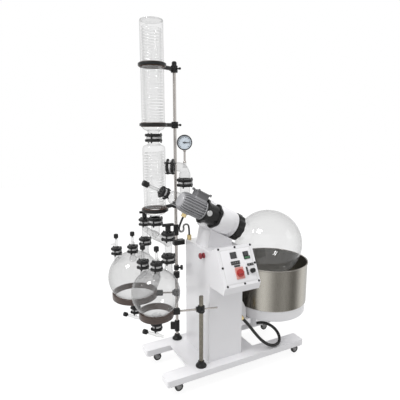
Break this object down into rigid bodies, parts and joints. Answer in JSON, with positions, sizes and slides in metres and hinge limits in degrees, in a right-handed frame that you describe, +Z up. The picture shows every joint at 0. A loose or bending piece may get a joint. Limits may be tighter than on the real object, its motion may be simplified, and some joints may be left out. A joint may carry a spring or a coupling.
{
  "type": "rotary evaporator",
  "caption": "Floor-standing rotary evaporator: tilted rotating flask over a lifting water bath, stacked glass condensers, twin receivers, castored base and sloped control box.",
  "frame": {"origin": "on the floor under the middle of the object's bounding box", "axes": "+Z up from the floor, +X from the receivers to the bath, -Y to the control panel"},
  "size_m": [1.2909, 0.8047, 2.096],
  "materials": {
    "white_paint": "semi-gloss powder coat",
    "black_cast": "satin black paint",
    "black_plastic": "satin black polymer",
    "grey_motor": "grey painted casting",
    "steel": "brushed stainless",
    "gear_steel": "machined, oiled",
    "glass": "clear borosilicate",
    "pad_rubber": "brown rubber",
    "wheel_rubber": "grey castor rubber",
    "hose_plastic": "smooth black rubber hose",
    "conduit_black": "black flexible conduit",
    "brass": "turned brass",
    "red_plastic": "gloss red polymer",
    "display_dark": "dark display windows",
    "needle_black": "matt black"
  },
  "bodies": {
    "frame": {"base_frame": "white_paint", "castor_plates": "black_cast", "cabinet_shell": "white_paint", "control_box": "white_paint", "panel_lid": "white_paint", "panel_displays": "display_dark", "shaft_bearings": "gear_steel", "drive_housing": "white_paint", "drive_pedestal": "white_paint", "motor_flange": "black_cast", "motor_body": "grey_motor", "terminal_box": "black_plastic", "vapour_tee": "glass", "vapour_elbow": "glass", "condenser_lower": "glass", "condenser_upper": "glass", "condenser_coils": "glass", "distributor": "glass", "rear_receiver": "glass", "front_receiver": "glass", "valve_bodies": "glass", "flange_clamps": "black_plastic", "support_poles": "steel", "condenser_rings": "black_cast", "receiver_rings": "black_cast", "ring_pads": "pad_rubber", "pole_fittings": "black_cast", "gauge_case": "black_cast", "bath_rails": "gear_steel", "motor_conduit": "conduit_black", "bath_hose": "hose_plastic", "conduit_glands": "brass"},
    "flask": {"rotary_flask": "glass", "collar_nut": "black_plastic", "drive_gear": "gear_steel"},
    "motor_rotor": {"motor_pinion": "gear_steel"},
    "bath": {"bath_tank": "steel", "bath_heater": "gear_steel", "bath_carriage": "white_paint"},
    "front_valve": {"front_valve_handle": "black_plastic"},
    "rear_valve": {"rear_valve_handle": "black_plastic"},
    "feed_valve": {"feed_knob": "black_plastic"},
    "front_drain": {"drain_knob_front": "black_plastic"},
    "rear_drain": {"drain_knob_rear": "black_plastic"},
    "main_switch": {"main_switch_knob": "red_plastic"},
    "speed_dial": {"speed_knob": "black_plastic"},
    "stop": {"stop_button": "red_plastic"},
    "needle": {"gauge_needle": "needle_black"},
    "castor_front_left": {"castor_fork_front_left": "black_cast"},
    "wheel_front_left": {"castor_wheel_front_left": "wheel_rubber"},
    "castor_rear_left": {"castor_fork_rear_left": "black_cast"},
    "wheel_rear_left": {"castor_wheel_rear_left": "wheel_rubber"},
    "castor_front_right": {"castor_fork_front_right": "black_cast"},
    "wheel_front_right": {"castor_wheel_front_right": "wheel_rubber"},
    "castor_rear_right": {"castor_fork_rear_right": "black_cast"},
    "wheel_rear_right": {"castor_wheel_rear_right": "wheel_rubber"},
    "vent_front_left": {"vent_knob_front_left": "black_plastic"},
    "vent_front_front": {"vent_knob_front_front": "black_plastic"},
    "vent_rear_left": {"vent_knob_rear_left": "black_plastic"},
    "vent_rear_front": {"vent_knob_rear_front": "black_plastic"}
  },
  "joints": [
    {"name": "flask_spin", "type": "hinge", "parent": "frame", "child": "flask", "pos_m": [0.37, -0.06, 0.748], "axis": [-0.8829, 0, 0.4695], "continuous": true},
    {"name": "motor_spin", "type": "hinge", "parent": "frame", "child": "motor_rotor", "pos_m": [0.37, -0.19, 0.748], "axis": [-0.8829, 0, 0.4695], "continuous": true},
    {"name": "bath_lift", "type": "slide", "parent": "frame", "child": "bath", "axis": [0, 0, 1], "range_m": [-0.15, 0], "deforming": ["bath_hose"]},
    {"name": "castor_swivel_front_left", "type": "hinge", "parent": "frame", "child": "castor_front_left", "pos_m": [-0.407, -0.2325, 0.06], "axis": [0, 0, 1], "continuous": true},
    {"name": "castor_roll_front_left", "type": "hinge", "parent": "castor_front_left", "child": "wheel_front_left", "pos_m": [-0.377, -0.2325, 0.025], "axis": [0, 1, 0], "continuous": true},
    {"name": "castor_swivel_rear_left", "type": "hinge", "parent": "frame", "child": "castor_rear_left", "pos_m": [-0.407, 0.1125, 0.06], "axis": [0, 0, 1], "continuous": true},
    {"name": "castor_roll_rear_left", "type": "hinge", "parent": "castor_rear_left", "child": "wheel_rear_left", "pos_m": [-0.377, 0.1125, 0.025], "axis": [0, 1, 0], "continuous": true},
    {"name": "castor_swivel_front_right", "type": "hinge", "parent": "frame", "child": "castor_front_right", "pos_m": [0.459, -0.2325, 0.06], "axis": [0, 0, 1], "continuous": true},
    {"name": "castor_roll_front_right", "type": "hinge", "parent": "castor_front_right", "child": "wheel_front_right", "pos_m": [0.489, -0.2325, 0.025], "axis": [0, 1, 0], "continuous": true},
    {"name": "castor_swivel_rear_right", "type": "hinge", "parent": "frame", "child": "castor_rear_right", "pos_m": [0.459, 0.1125, 0.06], "axis": [0, 0, 1], "continuous": true},
    {"name": "castor_roll_rear_right", "type": "hinge", "parent": "castor_rear_right", "child": "wheel_rear_right", "pos_m": [0.489, 0.1125, 0.025], "axis": [0, 1, 0], "continuous": true},
    {"name": "front_valve_turn", "type": "hinge", "parent": "frame", "child": "front_valve", "pos_m": [-0.399, -0.155, 0.95], "axis": [0, 0, 1], "range_deg": [0, 90]},
    {"name": "rear_valve_turn", "type": "hinge", "parent": "frame", "child": "rear_valve", "pos_m": [-0.399, 0.235, 0.95], "axis": [0, 0, 1], "range_deg": [0, 90]},
    {"name": "feed_valve_turn", "type": "hinge", "parent": "frame", "child": "feed_valve", "pos_m": [0.37, -0.06, 0.748], "axis": [-0.8829, 0, 0.4695], "range_deg": [0, 360]},
    {"name": "front_drain_turn", "type": "hinge", "parent": "frame", "child": "front_drain", "pos_m": [-0.478, -0.155, 0.341], "axis": [-0.8829, 0, 0.4695], "range_deg": [0, 360]},
    {"name": "rear_drain_turn", "type": "hinge", "parent": "frame", "child": "rear_drain", "pos_m": [-0.478, 0.235, 0.272], "axis": [-0.8829, 0, 0.4695], "range_deg": [0, 360]},
    {"name": "main_switch_turn", "type": "hinge", "parent": "frame", "child": "main_switch", "pos_m": [-0.059, -0.36575, 0.71187], "axis": [0, -0.887, 0.4617], "range_deg": [0, 90]},
    {"name": "speed_dial_turn", "type": "hinge", "parent": "frame", "child": "speed_dial", "pos_m": [0.024, -0.36575, 0.71187], "axis": [0, -0.887, 0.4617], "range_deg": [0, 300]},
    {"name": "stop_press", "type": "slide", "parent": "frame", "child": "stop", "axis": [1, 0, 0], "range_m": [0, 0.006], "stiffness_N_per_m": 2000},
    {"name": "needle_turn", "type": "hinge", "parent": "frame", "child": "needle", "pos_m": [-0.249, -0.06, 1.43], "axis": [-0.454, -0.891, 0], "range_deg": [0, 270], "stiffness_Nm_per_rad": 0.02},
    {"name": "vent_front_left_turn", "type": "hinge", "parent": "frame", "child": "vent_front_left", "pos_m": [-0.55, -0.155, 0.85], "axis": [0, 0, 1], "range_deg": [0, 360]},
    {"name": "vent_front_front_turn", "type": "hinge", "parent": "frame", "child": "vent_front_front", "pos_m": [-0.496, -0.223, 0.85], "axis": [0, 0, 1], "range_deg": [0, 360]},
    {"name": "vent_rear_left_turn", "type": "hinge", "parent": "frame", "child": "vent_rear_left", "pos_m": [-0.59, 0.235, 0.85], "axis": [0, 0, 1], "range_deg": [0, 360]},
    {"name": "vent_rear_front_turn", "type": "hinge", "parent": "frame", "child": "vent_rear_front", "pos_m": [-0.508, 0.16, 0.85], "axis": [0, 0, 1], "range_deg": [0, 360]}
  ],
  "couplings": [
    {"joint": "motor_spin", "follows": "flask_spin", "ratio": -1.3214}
  ]
}
